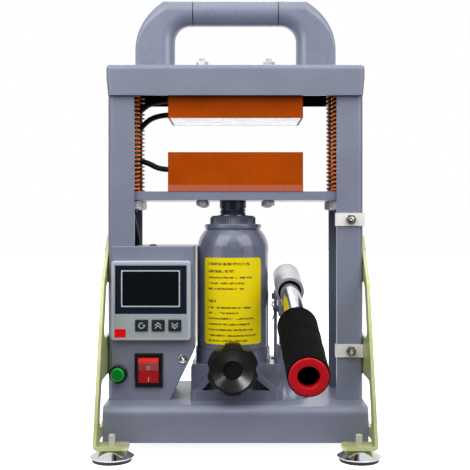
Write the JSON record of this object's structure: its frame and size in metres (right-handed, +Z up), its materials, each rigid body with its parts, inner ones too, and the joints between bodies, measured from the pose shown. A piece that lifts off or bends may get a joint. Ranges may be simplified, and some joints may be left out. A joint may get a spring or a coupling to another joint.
{
  "type": "hydraulic heat press",
  "caption": "Bench heat press: a jack lifts a heated plate on guide rods against a fixed one, in a steel frame with handle, screw feet and temperature controller.",
  "frame": {"origin": "middle of the bounding box at floor level, under the feet", "axes": "+Z up, front of the press with its controls and pump lever towards -Y, +X to the viewer's right"},
  "size_m": [0.2466, 0.3638, 0.4122],
  "materials": {
    "black_plastic": "moulded",
    "black_steel": "black oxide",
    "chrome_foot": "polished",
    "display": "dark window",
    "foam": "foam",
    "foot_rubber": "matt",
    "green_cap": "moulded",
    "grey_plastic": "light grey moulding",
    "heater_steel": "drawn",
    "insulation": "pressed mineral board",
    "jack_paint": "gloss blue-grey enamel",
    "knob_plastic": "moulded",
    "lead_sleeve": "matt sleeve",
    "lever_chrome": "polished",
    "lever_paint": "light grey enamel",
    "navy_key": "moulded",
    "orange_paint": "gloss orange enamel",
    "orange_spring": "orange lacquered spring wire",
    "painted_frame": "satin blue-grey powder coat",
    "plate_aluminium": "milled",
    "red_plastic": "moulded",
    "steel": "ground",
    "zinc_plate": "yellow passivated zinc"
  },
  "bodies": {
    "frame": {"base_channel": "painted_frame", "left_column": "painted_frame", "right_column": "painted_frame", "top_beam": "painted_frame", "handle_ends": "painted_frame", "handle_grip": "painted_frame", "side_braces": "zinc_plate", "frame_bolts": "zinc_plate", "frame_nuts": "zinc_plate", "column_clips": "zinc_plate", "guide_rods": "zinc_plate", "upper_insulation_pad": "insulation", "upper_plate_housing": "orange_paint", "upper_heating_plate": "plate_aluminium", "upper_heaters": "heater_steel", "upper_leads": "lead_sleeve", "foot_pads": "foot_rubber", "control_box": "painted_frame", "control_box_cover": "painted_frame", "box_screws": "black_steel", "controller_case": "grey_plastic", "display_window": "display", "switch_housing": "black_plastic", "button_body": "black_plastic", "power_inlet": "black_plastic", "jack_base": "jack_paint", "jack_reservoir": "jack_paint", "jack_cylinder": "steel", "jack_top_nut": "jack_paint", "filler_plug": "jack_paint", "pump_cylinder": "steel", "lever_links": "steel"},
    "carriage": {"lower_beam": "painted_frame", "lower_insulation_pad": "insulation", "lower_plate_housing": "orange_paint", "lower_heating_plate": "plate_aluminium", "lower_heaters": "heater_steel", "lower_plate_bolts": "zinc_plate", "return_springs": "orange_spring", "lower_lead": "lead_sleeve"},
    "ram": {"ram": "steel"},
    "screw_stop": {"screw_stop_ring": "black_steel"},
    "screw": {"extension_screw": "black_steel"},
    "lever": {"lever_socket": "lever_paint", "lever_tube": "lever_chrome", "lever_grip": "foam", "grip_end_ring": "red_plastic", "hairpin_cotter": "black_steel"},
    "plunger": {"pump_plunger": "steel"},
    "release": {"release_valve": "zinc_plate", "release_knob": "knob_plastic"},
    "rocker": {"power_rocker": "red_plastic"},
    "set_key": {"set_key": "navy_key"},
    "up_key": {"up_key": "navy_key"},
    "down_key": {"down_key": "navy_key"},
    "start_button": {"start_button": "green_cap"},
    "foot_lf": {"foot_left_front": "chrome_foot"},
    "foot_lr": {"foot_left_rear": "chrome_foot"},
    "foot_rf": {"foot_right_front": "chrome_foot"},
    "foot_rr": {"foot_right_rear": "chrome_foot"}
  },
  "joints": [
    {"name": "carriage_lift", "type": "slide", "parent": "frame", "child": "carriage", "axis": [0, 0, 1], "range_m": [0, 0.0313], "stiffness_N_per_m": 7500, "springref_m": -0.005, "deforming": ["return_springs"]},
    {"name": "ram_lift", "type": "slide", "parent": "frame", "child": "ram", "axis": [0, 0, 1], "range_m": [0, 0.0313]},
    {"name": "stop_ring_slide", "type": "slide", "parent": "ram", "child": "screw_stop", "axis": [0, 0, 1], "range_m": [-0.011, 0]},
    {"name": "extension_screw_turn", "type": "hinge", "parent": "screw_stop", "child": "screw", "pos_m": [-0.0025, 0.07058, 0.172], "axis": [0, 0, 1], "range_deg": [-1320.1, 0]},
    {"name": "pump_lever_swing", "type": "hinge", "parent": "frame", "child": "lever", "pos_m": [0.0485, 0.07858, 0.131], "axis": [-1, 0, 0], "range_deg": [0, 45]},
    {"name": "plunger_stroke", "type": "slide", "parent": "frame", "child": "plunger", "axis": [0, 0, 1], "range_m": [0, 0.0199]},
    {"name": "release_turn", "type": "hinge", "parent": "frame", "child": "release", "pos_m": [-0.0025, 0, 0.0717], "axis": [0, -1, 0], "range_deg": [0, 540]},
    {"name": "rocker_tip", "type": "hinge", "parent": "frame", "child": "rocker", "pos_m": [-0.0788, 0.03308, 0.0673], "axis": [-1, 0, 0], "range_deg": [0, 20]},
    {"name": "set_key_press", "type": "slide", "parent": "frame", "child": "set_key", "axis": [0, 1, 0], "range_m": [0, 0.0008], "stiffness_N_per_m": 400, "springref_m": -0.0003},
    {"name": "up_key_press", "type": "slide", "parent": "frame", "child": "up_key", "axis": [0, 1, 0], "range_m": [0, 0.0008], "stiffness_N_per_m": 400, "springref_m": -0.0003},
    {"name": "down_key_press", "type": "slide", "parent": "frame", "child": "down_key", "axis": [0, 1, 0], "range_m": [0, 0.0008], "stiffness_N_per_m": 400, "springref_m": -0.0003},
    {"name": "start_press", "type": "slide", "parent": "frame", "child": "start_button", "axis": [0, 1, 0], "range_m": [0, 0.0025], "stiffness_N_per_m": 400, "springref_m": -0.0005},
    {"name": "foot_lf_turn", "type": "hinge", "parent": "frame", "child": "foot_lf", "pos_m": [-0.1045, -0.02192, 0.0065], "axis": [0, 0, 1], "range_deg": [-180, 180]},
    {"name": "foot_lr_turn", "type": "hinge", "parent": "frame", "child": "foot_lr", "pos_m": [-0.1045, 0.16308, 0.0065], "axis": [0, 0, 1], "range_deg": [-180, 180]},
    {"name": "foot_rf_turn", "type": "hinge", "parent": "frame", "child": "foot_rf", "pos_m": [0.1045, -0.02192, 0.0065], "axis": [0, 0, 1], "range_deg": [-180, 180]},
    {"name": "foot_rr_turn", "type": "hinge", "parent": "frame", "child": "foot_rr", "pos_m": [0.1045, 0.16308, 0.0065], "axis": [0, 0, 1], "range_deg": [-180, 180]}
  ],
  "couplings": [
    {"joint": "ram_lift", "follows": "carriage_lift", "ratio": 1},
    {"joint": "extension_screw_turn", "follows": "stop_ring_slide", "rad_per_m": 2094.4},
    {"joint": "plunger_stroke", "follows": "pump_lever_swing", "m_per_rad": 0.025337}
  ]
}
